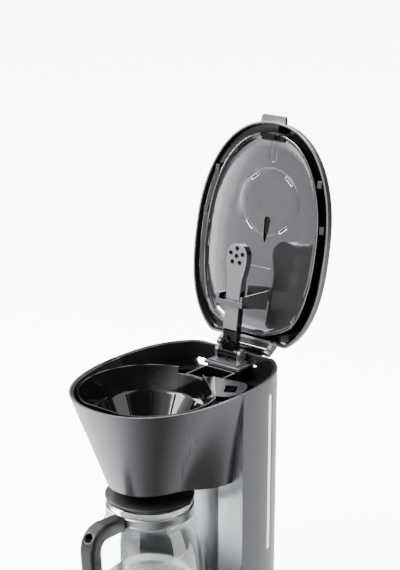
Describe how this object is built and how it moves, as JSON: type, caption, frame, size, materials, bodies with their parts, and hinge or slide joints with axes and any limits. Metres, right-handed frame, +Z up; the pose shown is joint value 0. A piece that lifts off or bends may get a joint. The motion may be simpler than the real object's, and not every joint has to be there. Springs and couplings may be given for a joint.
{
  "type": "drip coffee maker",
  "caption": "Drip coffee maker with a swing-up oval lid, a spout arm, a lift-out brew basket, a glass carafe and a warming plate.",
  "frame": {"origin": "on the surface the feet stand on, under the middle of the machine's box with the lid open", "axes": "+Z up, -Y to the front of the machine, +X to the right of someone facing the machine's front"},
  "size_m": [0.1918, 0.3445, 0.5768],
  "materials": {
    "housing": "satin metallic grey",
    "black_gloss": "glossy black",
    "cover_grey": "glossy grey",
    "plate_grey": "satin grey",
    "black_matt": "matt black",
    "clear_plastic": "clear",
    "carafe_glass": "clear",
    "rubber": "matt",
    "silicone": "matt",
    "steel": "brushed",
    "aluminium": "cast",
    "hotplate": "non-stick coating",
    "red_plastic": "translucent red"
  },
  "bodies": {
    "housing": {"outer_housing": "housing", "level_window": "clear_plastic", "top_tray": "black_gloss", "yoke_pocket": "black_gloss", "filter_well": "black_matt", "water_tank": "black_gloss", "base_housing": "housing", "base_plate": "black_matt", "foot_front_left": "rubber", "foot_front_right": "rubber", "foot_rear_left": "rubber", "foot_rear_right": "rubber", "base_screw_1": "steel", "base_screw_2": "steel", "base_screw_3": "steel", "base_screw_4": "steel", "warming_plate": "hotplate", "plate_gasket": "silicone", "heater_tube": "aluminium", "thermostat": "steel", "thermal_fuse": "silicone", "check_valve": "silicone", "cold_hose": "silicone", "hot_hose": "silicone", "riser_tube": "silicone", "rocker_bezel": "black_matt", "switch_body": "black_matt", "indicator_lens": "red_plastic", "cord_gland": "rubber", "arm_bracket": "black_gloss", "arm_pin": "steel", "hinge_bracket": "black_gloss", "hinge_pin": "steel"},
    "lid": {"lid_shell": "housing", "lid_cover": "cover_grey", "lid_yoke": "black_gloss", "lid_latch": "black_gloss", "lid_clip_front_left": "black_matt", "lid_clip_front_right": "black_matt", "lid_clip_rear_left": "black_matt", "lid_clip_rear_right": "black_matt"},
    "spout": {"spout_arm": "black_gloss", "spout_plate": "plate_grey"},
    "basket": {"brew_basket": "black_gloss", "valve_cage": "black_matt"},
    "valve": {"drip_valve": "black_matt", "valve_seal": "silicone", "valve_spring": "steel"},
    "carafe": {"carafe_glass": "carafe_glass", "carafe_band": "steel", "carafe_handle": "black_matt", "handle_screw": "steel", "carafe_lid": "black_matt"},
    "rocker": {"power_rocker": "black_gloss"},
    "float": {"level_float": "red_plastic"}
  },
  "joints": [
    {"name": "lid_hinge", "type": "hinge", "parent": "housing", "child": "lid", "pos_m": [0, 0.1093, 0.3035], "axis": [-1, 0, 0], "range_deg": [-100.3, 0]},
    {"name": "spout_swing", "type": "hinge", "parent": "housing", "child": "spout", "pos_m": [0, 0.0823, 0.305], "axis": [-1, 0, 0], "range_deg": [-98.4, 0]},
    {"name": "basket_lift", "type": "slide", "parent": "housing", "child": "basket", "axis": [0, 0, 1], "range_m": [0, 0.14]},
    {"name": "valve_lift", "type": "slide", "parent": "basket", "child": "valve", "axis": [0, 0, 1], "range_m": [0, 0.004], "stiffness_N_per_m": 120, "springref_m": -0.002},
    {"name": "carafe_slide", "type": "slide", "parent": "housing", "child": "carafe", "axis": [0, -1, 0], "range_m": [0, 0.25]},
    {"name": "power_switch", "type": "hinge", "parent": "housing", "child": "rocker", "pos_m": [0, -0.1506, 0.0215], "axis": [-1, 0, 0], "range_deg": [0, 12]},
    {"name": "float_rise", "type": "slide", "parent": "housing", "child": "float", "axis": [0, 0, 1], "range_m": [0, 0.16]}
  ],
  "couplings": [
    {"joint": "spout_swing", "follows": "lid_hinge", "ratio": 0.981}
  ]
}
